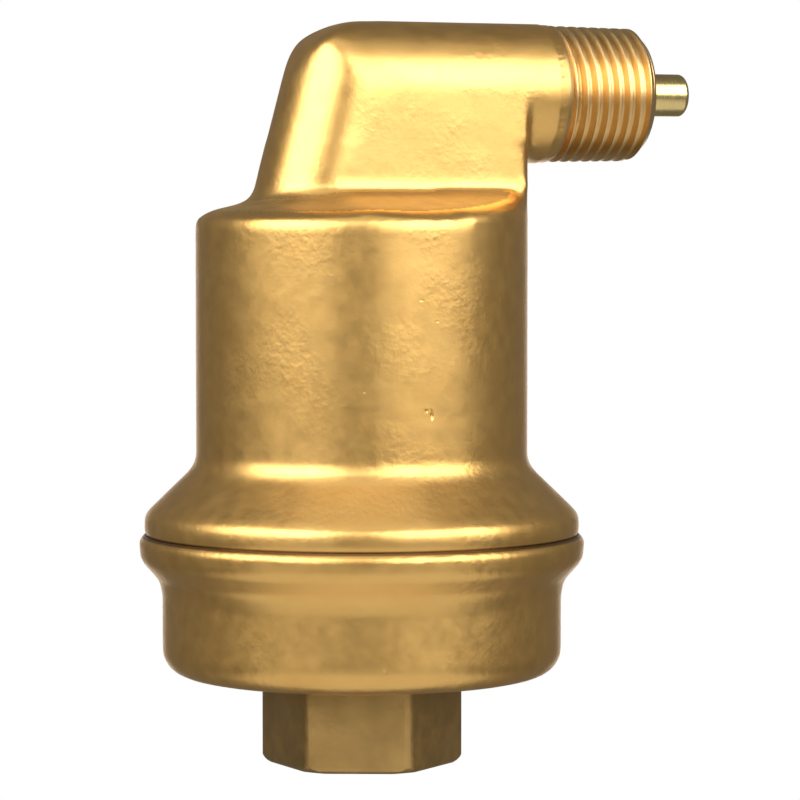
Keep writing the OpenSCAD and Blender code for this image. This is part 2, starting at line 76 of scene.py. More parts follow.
# %% [markdown]
# ## Measures
# A maker who models around an existing design measures it with calipers instead of guessing. The boxes of the
# nodes give the seam, the lip, the bead, the outlet and the top of the head. A ray that is shot at a part
# from outside, level and towards the axis, stops at its skin, so it works as calipers at any height.

# %% Read the main sizes from the frame
axis_x, axis_y, axis_z = Vector((1, 0, 0)), Vector((0, 1, 0)), Vector((0, 0, 1))
barrel_middle_z = 60 * mm
skirt_middle_z = 22 * mm


def caliper(node, height, ray_start=0.2):
    """Distance from the axis to the skin of a node, met by a level ray that comes in from outside."""
    middle = Vector((0, 0, height))
    start = middle + axis_y * ray_start
    _, place, _, _ = frame["nodes"][node].ray_cast(start, -axis_y)
    flown = (start - place).length
    return (start - axis_y * flown - middle).length


upper_low, upper_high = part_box("upper_housing")
_, lower_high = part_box("lower_housing")
seam_z, lip_r, spigot_end = upper_low.z, upper_high.y, upper_high.x
head_top, bead_r = upper_high.z, lower_high.y
barrel_r = caliper("upper_housing", barrel_middle_z)
skirt_r = caliper("lower_housing", skirt_middle_z)
mounts = {m["name"]: m for m in frame["record"]["mounts"]}
outlet_z = mounts["outlet_thread"]["pos_m"][2]
inlet_minor_r = mounts["inlet_thread"]["dims"]["r_mm"] * mm
inlet_depth = mounts["inlet_thread"]["dims"]["length_mm"] * mm
head_r = head_top - outlet_z
print("seam", seam_z / mm, "barrel radius", round(barrel_r / mm, 2), "skirt radius", round(skirt_r / mm, 2))
print("outlet height", outlet_z / mm, "head half thickness", round(head_r / mm, 2))

# %% [markdown]
# ## Camera
# A long lens far away keeps the upright edges of a product upright. The camera stands a little to the left of
# the vent and above its middle, and looks slightly down, so that the outlet points away from it to the right.

# %% Place the camera
camera_turn = math.radians(-20)
camera_distance = 0.5355
camera_height = 0.0837
camera_tilt = math.radians(-2.993)
camera_aside = math.radians(-0.627)
camera_data = bpy.data.cameras.new("camera")
camera = bpy.data.objects.new("camera", camera_data)
bpy.context.scene.collection.objects.link(camera)
camera_data.lens = 157.5
camera_data.sensor_width = 36
camera_data.clip_start = 0.01
camera.location = (
    camera_distance * math.sin(camera_turn), -camera_distance * math.cos(camera_turn), camera_height,
)
camera.rotation_euler = (math.radians(90) + camera_tilt, 0, camera_turn + camera_aside)
bpy.context.scene.camera = camera
print("camera at", [round(v, 3) for v in camera.location])

# %% [markdown]
# ## Studio
# Brass shows what it reflects. Two large soft boxes, one on each side of the camera, draw the two bright
# upright bands on the barrel, with a calmer strip between them. A weak box above lights the shoulder and the
# top of the head, and a weak one behind keeps the back readable. A lamp under the floor stands for the light
# that a pale table throws back up, which it can do because the floor casts no shadow. The floor and the dome
# round it are pale and even, and metal doesn't mirror them, so the edges of the vent stay dark against them.


# %% Lights
lamp_aim = Vector((0, 0, 0.06))


def soft_box(name, turn, lift, distance, width, height, watts):
    """A rectangular lamp that looks at the middle of the vent, from a turn round it and a lift in degrees."""
    data = bpy.data.lights.new(name, "AREA")
    data.shape, data.size, data.size_y, data.energy = "RECTANGLE", width, height, watts
    lamp = bpy.data.objects.new(name, data)
    bpy.context.scene.collection.objects.link(lamp)
    turn, lift = math.radians(turn) + camera_turn, math.radians(lift)
    towards = Vector((math.sin(turn) * math.cos(lift), -math.cos(turn) * math.cos(lift), math.sin(lift)))
    lamp.location = lamp_aim + towards * distance
    lamp.rotation_euler = towards.to_track_quat("Z", "Y").to_euler()
    lamp.visible_camera = False


soft_box("left_soft_box", -50, 30, 1.0, 1.2, 0.78, 12)
soft_box("right_soft_box", 46, 28, 1.0, 1.2, 0.80, 11.5)
soft_box("top_soft_box", 0, 76, 1.0, 1.0, 0.5, 1.1)
soft_box("back_soft_box", 180, -8, 1.2, 0.9, 0.5, 1.8)
soft_box("table_bounce", 0, -58, 0.6, 1.6, 1.0, 3.0)


# %% Floor, dome and room light
floor_r, dome_r = 3.0, 3.2
floor_gap = 0.2 * mm


def white_glow(name):
    """A white surface that glows evenly."""
    made = bpy.data.materials.new(name)
    made.use_nodes = True
    nodes = made.node_tree.nodes
    nodes.clear()
    glow, out = nodes.new("ShaderNodeEmission"), nodes.new("ShaderNodeOutputMaterial")
    glow.inputs["Color"].default_value = (1, 1, 1, 1)
    glow.inputs["Strength"].default_value = 1.0
    made.node_tree.links.new(glow.outputs[0], out.inputs["Surface"])
    return made


def studio_piece(piece, name, material):
    """A floor or backdrop: it isn't part of the object, and it neither lights the vent nor shows in it."""
    piece.name = name
    piece.data.materials.append(material)
    piece.visible_glossy = False
    piece.visible_diffuse = False
    piece.visible_shadow = False


bpy.ops.mesh.primitive_circle_add(vertices=96, radius=floor_r, fill_type="NGON", location=(0, 0, -floor_gap))
studio_piece(bpy.context.object, "floor", white_glow("pale_floor"))
bpy.ops.mesh.primitive_uv_sphere_add(segments=48, ring_count=24, radius=dome_r)
studio_piece(bpy.context.object, "dome", white_glow("pale_dome"))
world = bpy.data.worlds.new("room")
bpy.context.scene.world = world
world.use_nodes = True
world.node_tree.nodes["Background"].inputs["Color"].default_value = (1.0, 0.98, 0.95, 1)
world.node_tree.nodes["Background"].inputs["Strength"].default_value = 0.16
bpy.context.scene.view_settings.view_transform = "Standard"
print("studio ready")

# %% [markdown]
# ## Workshop helpers
# Each piece is made the way it would be made by hand in the editor: start a primitive, go to edit mode, draw,
# spin, extrude, bevel and cut. The helpers below only save typing. `lathe` draws half of a section point by
# point and spins it round an axis, as a potter or a turner would. `slab` draws a closed outline and pulls it
# to both sides. `combine` adds, subtracts or intersects two solids with a Boolean modifier and applies it.
# `remesh` covers a piece with an even skin, and `smooth_where` relaxes a part of that skin.


# %% Helpers for selecting and naming
def deselect():
    """Leave edit mode and select nothing."""
    if bpy.context.object and bpy.context.object.mode != "OBJECT":
        bpy.ops.object.mode_set(mode="OBJECT")
    bpy.ops.object.select_all(action="DESELECT")


def take(piece):
    """Make one piece the active, selected one."""
    deselect()
    piece.select_set(True)
    bpy.context.view_layer.objects.active = piece


def first_point(name, place):
    """Start a new piece from a small plane whose corners are merged to one vertex at that place."""
    deselect()
    bpy.ops.mesh.primitive_plane_add(size=mm)
    piece = bpy.context.object
    piece.name = piece.data.name = name
    bpy.ops.object.mode_set(mode="EDIT")
    bpy.ops.mesh.select_mode(type="VERT")
    bpy.ops.mesh.select_all(action="SELECT")
    bpy.ops.mesh.merge(type="CENTER")
    bpy.ops.transform.translate(value=place)
    return piece


def draw_on(points):
    """Extrude the last vertex from point to point."""
    for here, there in zip(points, points[1:]):
        bpy.ops.mesh.extrude_vertices_move(TRANSFORM_OT_translate={"value": there - here})


def arc(centre, radius, start, end, steps=8):
    """Points on an arc of a flat outline, from one angle to another, in degrees."""
    angles = [math.radians(start + (end - start) * i / steps) for i in range(steps + 1)]
    return [(centre[0] + radius * math.cos(a), centre[1] + radius * math.sin(a)) for a in angles]


# %% Lathe, slab and combine
weld_gap = 0.002 * mm


def lathe(name, outline, along="Z", height=0.0, steps=96):
    """Spin an outline of (radius, place along the axis) points round an upright or a level axis."""
    level = along == "X"
    points = [Vector((place, 0, height + r)) if level else Vector((r, 0, place)) for r, place in outline]
    piece = first_point(name, points[0])
    draw_on(points)
    bpy.ops.mesh.select_all(action="SELECT")
    bpy.ops.mesh.spin(steps=steps, angle=math.tau, center=(0, 0, height), axis=axis_x if level else axis_z)
    bpy.ops.mesh.select_all(action="SELECT")
    bpy.ops.mesh.remove_doubles(threshold=weld_gap)
    bpy.ops.mesh.normals_make_consistent(inside=False)
    bpy.ops.object.mode_set(mode="OBJECT")
    return piece


def slab(name, outline, across, half_thickness):
    """Draw a closed outline of (side, height) points, fill it and pull it out along the axis across."""
    side = axis_x if across == axis_y else axis_y
    points = [side * s + axis_z * h - across * half_thickness for s, h in outline]
    piece = first_point(name, points[0])
    draw_on(points)
    bpy.ops.mesh.select_all(action="SELECT")
    bpy.ops.mesh.edge_face_add()
    bpy.ops.mesh.extrude_region_move(TRANSFORM_OT_translate={"value": across * 2 * half_thickness})
    bpy.ops.mesh.select_all(action="SELECT")
    bpy.ops.mesh.normals_make_consistent(inside=False)
    bpy.ops.object.mode_set(mode="OBJECT")
    return piece


def combine(piece, tool, how):
    """UNION, DIFFERENCE or INTERSECT a piece with a tool, which is used up."""
    take(piece)
    bpy.ops.object.modifier_add(type="BOOLEAN")
    step = piece.modifiers[-1]
    step.object, step.operation, step.solver = tool, how, "MANIFOLD"
    bpy.ops.object.modifier_apply(modifier=step.name)
    bpy.data.objects.remove(tool)


# %% Relax and remesh
def everywhere(_):
    """A test that every place passes."""
    return True


def smooth_where(piece, wanted, repeat):
    """Relax the vertices whose place passes the test, as fine paper on a pattern would."""
    take(piece)
    bpy.ops.object.mode_set(mode="EDIT")
    bpy.ops.mesh.select_mode(type="VERT")
    bpy.ops.mesh.select_all(action="DESELECT")
    bpy.ops.object.mode_set(mode="OBJECT")
    chosen = 0
    for vertex in piece.data.vertices:
        vertex.select = wanted(vertex.co)
        chosen += vertex.select
    bpy.ops.object.mode_set(mode="EDIT")
    bpy.ops.mesh.vertices_smooth(factor=0.5, repeat=repeat)
    bpy.ops.object.mode_set(mode="OBJECT")
    print(piece.name, "relaxed", chosen, "vertices")


def remesh(piece, grain):
    """Cover a piece with an even skin of small squares."""
    take(piece)
    bpy.ops.object.modifier_add(type="REMESH")
    step = piece.modifiers[-1]
    step.mode, step.voxel_size = "VOXEL", grain
    bpy.ops.object.modifier_apply(modifier=step.name)
    print(piece.name, "remeshed to", len(piece.data.polygons), "faces")


# %% [markdown]
# ## Cast skin
# A sand or gravity casting is never quite even. It swells and sinks by some hundredths of a millimetre over
# a centimetre or less. That could be painted in the material, but light shows real relief better, so the skin
# is moved by Displace modifiers that push only inwards. The pattern is noise in space, a wide one for the
# swell and a narrow one for the grit.


# %% Helper for the cast skin
swell_depth = 0.04 * mm
grit_depth = 0.018 * mm


def cast_skin(piece, depth, spread, seed_shift):
    """Push the skin inwards by up to depth, in patches about as wide as spread."""
    pattern = bpy.data.textures.new(piece.name + "_skin", "CLOUDS")
    pattern.noise_scale, pattern.noise_depth, pattern.noise_basis = spread, 1, "ORIGINAL_PERLIN"
    anchor = bpy.data.objects.new(piece.name + "_skin_place", None)
    anchor.location = seed_shift
    bpy.context.scene.collection.objects.link(anchor)
    take(piece)
    bpy.ops.object.modifier_add(type="DISPLACE")
    step = piece.modifiers[-1]
    step.texture, step.strength, step.mid_level = pattern, depth, 1.0
    step.texture_coords, step.texture_coords_object = "OBJECT", anchor
    bpy.context.view_layer.update()
    bpy.ops.object.modifier_apply(modifier=step.name)
    bpy.data.objects.remove(anchor)
    bpy.data.textures.remove(pattern)


# %% [markdown]
# ## Upper casting, outside
# The barrel, the flare above the seam, the rim and the head come out of the foundry as one casting. It is
# built up from simple solids: a turned body, a head cut from three outlines, a low roof under the head and a
# round collar for the outlet. They are joined, covered with one even skin and relaxed at the inner corners,
# which gives the soft fillets that a casting needs so that the metal can flow.

# %% Turn the body of the upper casting
skin_grain = 0.5 * mm
rim_r = 2.8 * mm
rim_z = 82 * mm
shoulder_slope = math.radians(12)
flat_r = 6 * mm
spare = 1 * mm
rim = arc((barrel_r - rim_r, rim_z), rim_r, 0, 90 - math.degrees(shoulder_slope), 6)
shoulder_z = rim[-1][1] + (rim[-1][0] - flat_r) * math.tan(shoulder_slope)
flare = [
    (lip_r - 0.4 * mm, seam_z - spare), (lip_r - 0.4 * mm, seam_z), (lip_r, seam_z + 0.5 * mm),
    (lip_r, seam_z + 2.5 * mm), (lip_r - 0.3 * mm, seam_z + 3.3 * mm), (lip_r - 1.1 * mm, seam_z + 4.2 * mm),
    (barrel_r + 1.2 * mm, seam_z + 9.6 * mm), (barrel_r + 0.35 * mm, seam_z + 10.8 * mm),
    (barrel_r, seam_z + 12 * mm),
]
body_outline = [(0, seam_z - spare)] + flare + rim + [(flat_r, shoulder_z), (0, shoulder_z)]
upper = lathe("upper_casting", body_outline, steps=144)
print("turned body:", len(upper.data.polygons), "faces")

# %% [markdown]
# The head is a slab with a round top. Seen from the side, its blind end leans in and turns over in a wide
# curve. Seen from the end it is an arch. Cutting one outline with the other gives both at once. A round
# column keeps the head within the barrel, and a leaning column with round corners softens the upright edges.

# %% Cut the head from three outlines
head_lean = math.radians(15)
head_foot_z = 86.4 * mm
head_foot = -17 * mm
head_turn_r = 12.2 * mm
root_z = rim_z + spare
turn_z = head_top - head_turn_r
turn_x = head_foot + (head_turn_r + math.sin(head_lean) * (turn_z - head_foot_z)) / math.cos(head_lean)
side_view = [(barrel_r, root_z), (head_foot - (head_foot_z - root_z) * math.tan(head_lean), root_z)]
side_view += arc((turn_x, turn_z), head_turn_r, 180 - math.degrees(head_lean), 90, 16)
side_view += [(barrel_r, head_top)]
end_view = [(-head_r, root_z), (head_r, root_z)] + arc((0, outlet_z), head_r, 0, 180, 40)
head = slab("head", side_view, axis_y, head_r)
arch_half = 30 * mm
combine(head, slab("arch", end_view, axis_x, arch_half), "INTERSECT")
column_outline = [
    (0, root_z - spare), (barrel_r, root_z - spare), (barrel_r, head_top + spare), (0, head_top + spare),
]
combine(head, lathe("column", column_outline, steps=192), "INTERSECT")
print("head before its edges are rounded:", len(head.data.polygons), "faces")

# %% Round the upright edges of the blind end
edge_r = 10 * mm
leaning_long, leaning_tall = 60 * mm, 100 * mm
deselect()
bpy.ops.mesh.primitive_cube_add(size=1)
leaning = bpy.context.object
leaning.name = "leaning_column"
bpy.ops.object.mode_set(mode="EDIT")
bpy.ops.transform.resize(value=(leaning_long, 2 * head_r, leaning_tall))
bpy.ops.mesh.select_all(action="DESELECT")
bpy.ops.object.mode_set(mode="OBJECT")
for edge in leaning.data.edges:
    ends = [leaning.data.vertices[i].co for i in edge.vertices]
    edge.select = abs(ends[0].z - ends[1].z) > leaning_tall / 2 and ends[0].x < 0
bpy.ops.object.mode_set(mode="EDIT")
bpy.ops.mesh.select_mode(type="EDGE")
bpy.ops.mesh.bevel(offset=edge_r, offset_type="OFFSET", segments=20, profile=0.5)
bpy.ops.mesh.select_all(action="SELECT")
bpy.ops.transform.translate(value=(leaning_long / 2, 0, 0))
bpy.ops.object.mode_set(mode="OBJECT")
leaning.data.transform(
    Matrix.Translation((head_foot, 0, head_foot_z)) @ Matrix.Rotation(head_lean, 4, "Y")
)
combine(head, leaning, "INTERSECT")
print("head:", len(head.data.polygons), "faces")

# %% [markdown]
# The outlet grows out of the head as a round collar of the same thickness. Two sloping planes, like a low
# roof, give the head a straight foot on the round shoulder. The roof ends behind the middle, because the
# shoulder stays round beside the blind end. After the join, a voxel remesh replaces the patchwork of faces
# with one even skin. It can then be relaxed where the real casting has fillets: all round the foot of the
# head, under the collar, and over the blind end.

# %% Shape the collar and the roof
collar_start, collar_end = 12 * mm, 29.3 * mm
collar_outline = [(0, collar_start), (head_r, collar_start), (head_r, collar_end), (0, collar_end)]
collar = lathe("collar", collar_outline, along="X", height=outlet_z, steps=96)
foot_line_z = shoulder_z - (head_r - flat_r) * math.tan(shoulder_slope)
eaves = barrel_r - 1.6 * mm
eaves_z = foot_line_z - (eaves - head_r) * math.tan(shoulder_slope)
roof_half = 26 * mm
roof_view = [
    (-eaves, root_z - spare), (eaves, root_z - spare), (eaves, eaves_z), (head_r, foot_line_z),
    (-head_r, foot_line_z), (-eaves, eaves_z),
]
roof = slab("roof", roof_view, axis_x, roof_half)
cap_outline = [(0, root_z - spare), (barrel_r, root_z - spare), (barrel_r, eaves_z - 0.4 * mm)]
cap_outline += arc((barrel_r - rim_r, foot_line_z - rim_r), rim_r, 0, 70, 6) + [(0, foot_line_z + spare)]
combine(roof, lathe("roof_cap", cap_outline, steps=128), "INTERSECT")
deselect()
bpy.ops.mesh.primitive_cube_add(size=1)
behind = bpy.context.object
behind.name = "behind_the_roof"
behind_long, behind_wide, behind_tall, behind_middle_x = 30 * mm, 60 * mm, 200 * mm, -23 * mm
bpy.ops.transform.resize(value=(behind_long, behind_wide, behind_tall))
bpy.ops.transform.translate(value=(behind_middle_x, 0, 0))
combine(roof, behind, "DIFFERENCE")
print("roof foot at", round(foot_line_z / mm, 2), "mm, eaves at", round(eaves_z / mm, 2), "mm")

# %% Join, cover and relax
combine(upper, roof, "UNION")
combine(upper, head, "UNION")
combine(upper, collar, "UNION")
remesh(upper, skin_grain)


def near_foot(p):
    """In a band round the foot of the head."""
    beside = abs(p.y) < head_r + 3.5 * mm and p.x > head_foot - 6 * mm
    level = foot_line_z - 2.5 * mm < p.z < foot_line_z + 3 * mm
    return level and beside and math.hypot(p.x, p.y) < barrel_r - 1.2 * mm


def on_eaves(p):
    """On the outer part of the roof, where it blends into the round shoulder."""
    return eaves_z - spare < p.z < foot_line_z + 0.5 * mm and math.hypot(p.x, p.y) > head_r + 3 * mm


def under_collar(p):
    """Along the lowest line of the collar."""
    return 21 * mm < p.x < collar_end - 2 * mm and abs(p.z - (outlet_z - head_r)) < 3 * mm


def over_blind_end(p):
    """Over the back and the top of the head."""
    return p.x < 2 * mm and p.z > outlet_z - 8 * mm


smooth_where(upper, near_foot, 14)
smooth_where(upper, on_eaves, 45)
smooth_where(upper, under_collar, 20)
smooth_where(upper, over_blind_end, 30)
smooth_where(upper, everywhere, 2)
cast_skin(upper, swell_depth, 7 * mm, (0.013, 0.002, 0.007))
cast_skin(upper, grit_depth, 1.6 * mm, (0.003, 0.012, 0.005))

# %% [markdown]
# ## Casting pits
# Gas and grains of sand leave a few small pits that no blasting takes away. A flattened ball, let into the
# skin by a fraction of a millimetre and subtracted, leaves such a pit. The places are listed one by one,
# nearly all of them on the front.


# %% Pit the skin
def pit(piece, turn, height, skin_r, wide, tall, deep):
    """Subtract a small ball that cuts in by deep, at a turn from the front in degrees and a height."""
    deselect()
    bpy.ops.mesh.primitive_uv_sphere_add(segments=16, ring_count=10, radius=wide)
    ball = bpy.context.object
    turn = math.radians(turn)
    reach = skin_r + wide - deep
    ball.data.transform(Matrix.Diagonal((1, 1, tall / wide, 1)))
    ball.data.transform(Matrix.Translation((reach * math.sin(turn), -reach * math.cos(turn), height)))
    combine(piece, ball, "DIFFERENCE")


pit(upper, 4.0, 54.6 * mm, barrel_r, 0.45 * mm, 0.9 * mm, 0.22 * mm)
pit(upper, 2.2, 55.3 * mm, barrel_r, 0.35 * mm, 0.5 * mm, 0.14 * mm)
pit(upper, -19.0, 58.2 * mm, barrel_r, 0.5 * mm, 0.4 * mm, 0.08 * mm)
pit(upper, 0.5, 71.5 * mm, barrel_r, 0.6 * mm, 0.35 * mm, 0.09 * mm)
pit(upper, 6.0, 68.4 * mm, barrel_r, 0.6 * mm, 0.4 * mm, 0.08 * mm)
pit(upper, 140.0, 50.0 * mm, barrel_r, 0.5 * mm, 0.6 * mm, 0.12 * mm)
print("pits cut; casting has", len(upper.data.polygons), "faces")

# %% [markdown]
# ## Upper casting, machined parts
# After casting, the vent goes to a lathe. The face at the seam is cut flat, the inside is bored, and the
# outlet is turned and gets its thread. A bisect gives the flat face, and Boolean cuts with lathed tools give
# the bores, so the walls have their true thickness.


# %% Face the seam and bore the inside
def face_off(piece, height, keep_above):
    """Cut a piece flat at a height and close the cut."""
    take(piece)
    bpy.ops.object.mode_set(mode="EDIT")
    bpy.ops.mesh.select_all(action="SELECT")
    bpy.ops.mesh.bisect(plane_co=(0, 0, height), plane_no=(0, 0, 1), use_fill=True, threshold=0.001 * mm,
                        clear_inner=keep_above, clear_outer=not keep_above)
    bpy.ops.object.mode_set(mode="OBJECT")


face_off(upper, seam_z, keep_above=True)
wall = 3 * mm
bore_r = barrel_r - wall
closing_r = 28.6 * mm
closing_h = 4.8 * mm
flare_in_r = 27.4 * mm
plate_seat, plate_t, ring_t, ring_depth = 76.2 * mm, 1.2 * mm, 1.1 * mm, 1 * mm
ceiling_r, ceiling_z = 20 * mm, 80 * mm
ring_z = plate_seat - plate_t - ring_t
bore_outline = [
    (0, seam_z - spare), (closing_r, seam_z - spare), (closing_r, seam_z + closing_h),
    (flare_in_r, seam_z + closing_h), (bore_r, seam_z + closing_h + flare_in_r - bore_r), (bore_r, ring_z),
    (bore_r + ring_depth, ring_z), (bore_r + ring_depth, ring_z + ring_t), (bore_r, ring_z + ring_t),
    (bore_r, plate_seat), (ceiling_r, plate_seat), (ceiling_r, ceiling_z), (0, ceiling_z),
]
combine(upper, lathe("bore", bore_outline, steps=128), "DIFFERENCE")
chamber_r, chamber_end, blind_wall = 7.2 * mm, 20.8 * mm, 5.6 * mm
chamber_foot = ceiling_z - 0.5 * mm
blind_x = head_foot + blind_wall / math.cos(head_lean)
chamber_view = [(-chamber_r, chamber_foot), (chamber_r, chamber_foot)]
chamber_view += arc((0, outlet_z), chamber_r, 0, 180, 32)
chamber = slab("chamber", chamber_view, axis_x, chamber_end)
lean = math.tan(head_lean)
chamber_side = [
    (chamber_end, chamber_foot), (blind_x - (head_foot_z - chamber_foot) * lean, chamber_foot),
    (blind_x + (head_top - head_foot_z) * lean, head_top), (chamber_end, head_top),
]
combine(chamber, slab("chamber_side", chamber_side, axis_y, head_r), "INTERSECT")
combine(upper, chamber, "DIFFERENCE")
print("bored casting:", len(upper.data.polygons), "faces")

# %% [markdown]
# ## Threads
# A pipe thread is a spiral ridge. Circles beside each other would look alike in a still picture, but they
# wouldn't screw on. So one pitch of the ridge is drawn, and a Screw modifier carries it round and along the
# axis. The edge of each open end is extruded and merged to its middle, which closes it and makes a threaded
# bar. Cut to length by a turned blank, the bar is a male thread. Used as a cutting tool, it leaves a female
# one.

# %% Make a threaded bar
threads_per_inch = 14
pitch = 25.4 / threads_per_inch * mm
thread_depth = 0.64 * pitch


def threaded_bar(name, crest_r, start, turns, height, steps=96):
    """A bar along X with a rounded spiral ridge, closed at both ends."""
    flank = [(0, 0), (0.09, 0), (0.17, 0.14), (0.36, 0.80), (0.42, 0.95)]
    shape = flank + [(0.5, 1)] + [(1 - share, rise) for share, rise in reversed(flank)]
    root = crest_r - thread_depth
    points = [Vector((start + share * pitch, 0, root + rise * thread_depth)) for share, rise in shape]
    piece = first_point(name, points[0])
    draw_on(points)
    bpy.ops.object.mode_set(mode="OBJECT")
    bpy.ops.object.modifier_add(type="SCREW")
    step = piece.modifiers[-1]
    step.axis, step.angle, step.screw_offset, step.iterations = "X", math.tau, pitch, turns
    step.steps = step.render_steps = steps
    bpy.ops.object.modifier_apply(modifier=step.name)
    bpy.ops.object.mode_set(mode="EDIT")
    bpy.ops.mesh.select_all(action="SELECT")
    bpy.ops.mesh.remove_doubles(threshold=weld_gap)
    middle = start + pitch * (turns + 1) / 2
    for near_start in (True, False):
        bpy.ops.mesh.select_mode(type="EDGE")
        bpy.ops.mesh.select_all(action="DESELECT")
        bpy.ops.mesh.select_non_manifold()
        bpy.ops.object.mode_set(mode="OBJECT")
        for edge in piece.data.edges:
            ends = [piece.data.vertices[i].co.x for i in edge.vertices]
            edge.select = edge.select and (ends[0] < middle) == near_start
        bpy.ops.object.mode_set(mode="EDIT")
        bpy.ops.mesh.extrude_edges_move()
        bpy.ops.mesh.merge(type="CENTER")
    bpy.ops.mesh.select_all(action="SELECT")
    bpy.ops.mesh.normals_make_consistent(inside=False)
    bpy.ops.object.mode_set(mode="OBJECT")
    piece.data.transform(Matrix.Translation((0, 0, height)))
    return piece


# %% Thread the outlet
spigot_r = 10.65 * mm
thread_crest_r = 10.6 * mm
thread_start = 30.0 * mm
lead_in = 1.4 * mm
turn_start = chamber_end + 0.4 * mm
blank_end_r = thread_crest_r - 0.25 * mm
blank_outline = [
    (0, thread_start - spare), (thread_crest_r, thread_start - spare), (blank_end_r, spigot_end - lead_in),
    (blank_end_r - lead_in, spigot_end), (0, spigot_end),
]
male = threaded_bar("male_thread", thread_crest_r, thread_start - 2 * pitch, turns=11, height=outlet_z)
combine(male, lathe("blank", blank_outline, along="X", height=outlet_z, steps=128), "INTERSECT")
shank_step, shank_step_r, shank_root_r = 22 * mm, spigot_r - 1.5 * mm, spigot_r - thread_depth
run_out, shank_end = thread_start + 2.2 * mm, thread_start + 2.6 * mm
shank_outline = [
    (0, turn_start), (shank_step_r, turn_start), (shank_step_r, shank_step), (spigot_r, shank_step),
    (spigot_r, thread_start), (shank_root_r, run_out), (shank_root_r, shank_end), (0, shank_end),
]
combine(male, lathe("shank", shank_outline, along="X", height=outlet_z, steps=128), "UNION")
combine(upper, male, "UNION")
spigot_bore_r = 6.5 * mm
spigot_mouth_r = spigot_bore_r + 0.6 * mm
spigot_bore = [
    (0, chamber_end - spare), (spigot_bore_r, chamber_end - spare), (spigot_bore_r, spigot_end - 0.5 * mm),
    (spigot_mouth_r, spigot_end + 0.1 * mm), (spigot_mouth_r, spigot_end + spare), (0, spigot_end + spare),
]
combine(upper, lathe("spigot_bore", spigot_bore, along="X", height=outlet_z, steps=96), "DIFFERENCE")
print("upper casting:", len(upper.data.polygons), "faces")

# %% [markdown]
# ## Lower casting
# The lower body screws up into the upper one. Outside it has a bead under the seam, a skirt with a rounded
# bottom edge, and the inlet hexagon that a spanner holds. The bead and skirt are turned and get the same cast
# skin. The hexagon stays crisp, with slightly broken edges and a rounded foot.

# %% Turn the bead and the skirt
skirt_z = 13.8 * mm
skirt_edge = 4 * mm
bead_round = 1.2 * mm
skirt_outline = [(0, skirt_z)]
skirt_outline += arc((skirt_r - skirt_edge, skirt_z + skirt_edge), skirt_edge, -90, 0, 8)
skirt_outline += [
    (skirt_r, seam_z - 9.4 * mm), (skirt_r + 0.3 * mm, seam_z - 7.7 * mm),
    (skirt_r + 0.65 * mm, seam_z - 6.7 * mm), (bead_r - 0.6 * mm, seam_z - 4.15 * mm),
    (bead_r - 0.15 * mm, seam_z - 3.2 * mm),
]
skirt_outline += arc((bead_r - bead_round, seam_z - bead_round), bead_round, 0, 80, 6)
skirt_outline += [(bead_r - bead_round - 0.1 * mm, seam_z + spare), (0, seam_z + spare)]
lower = lathe("lower_casting", skirt_outline, steps=144)
remesh(lower, skin_grain)
smooth_where(lower, everywhere, 1)
cast_skin(lower, swell_depth, 6 * mm, (0.021, 0.009, 0.001))
cast_skin(lower, grit_depth, 1.5 * mm, (0.004, 0.003, 0.011))
face_off(lower, seam_z, keep_above=False)
pit(lower, -13.5, 17.6 * mm, skirt_r, 0.4 * mm, 0.7 * mm, 0.12 * mm)
pit(lower, -11.0, 17.2 * mm, skirt_r, 0.35 * mm, 0.6 * mm, 0.10 * mm)
print("bead and skirt:", len(lower.data.polygons), "faces")

# %% Shape the hexagon
hex_flats = 27 * mm
hex_turn = math.radians(8)
hex_corner = hex_flats / 2 / math.cos(math.radians(30))
hex_edge = 1.0 * mm
foot_r = 2.3 * mm
hex_top = skirt_z + 1.5 * mm
deselect()
bpy.ops.mesh.primitive_cylinder_add(
    vertices=6, radius=hex_corner, depth=hex_top, location=(0, 0, hex_top / 2),
)
hexagon = bpy.context.object
hexagon.name = "hexagon"
bpy.ops.object.transform_apply(location=True, rotation=True, scale=True)
hexagon.data.transform(Matrix.Rotation(hex_turn, 4, "Z"))
for edge in hexagon.data.edges:
    ends = [hexagon.data.vertices[i].co for i in edge.vertices]
    edge.select = abs(ends[0].z - ends[1].z) > hex_top / 2
bpy.ops.object.mode_set(mode="EDIT")
bpy.ops.mesh.select_mode(type="EDGE")
bpy.ops.mesh.bevel(offset=hex_edge, offset_type="OFFSET", segments=3, profile=0.5)
bpy.ops.object.mode_set(mode="OBJECT")
foot_outline = [(0, 0)] + arc((hex_corner - foot_r, foot_r), foot_r, -90, 0, 10)
foot_outline += [(hex_corner + spare, foot_r), (hex_corner + spare, hex_top + spare), (0, hex_top + spare)]
combine(hexagon, lathe("foot", foot_outline, steps=128), "INTERSECT")
combine(lower, hexagon, "UNION")
print("lower casting outside:", len(lower.data.polygons), "faces")

# %% [markdown]
# Inside, the lower body is turned. A ring stands above the seam and goes up into the flare of the upper
# casting, with a groove beside it for the seal. Below are the wide bore, a ledge and a snap ring groove for
# the baffle, and a throat that leads down to the inlet. Each is a lathed solid that is added or taken away.

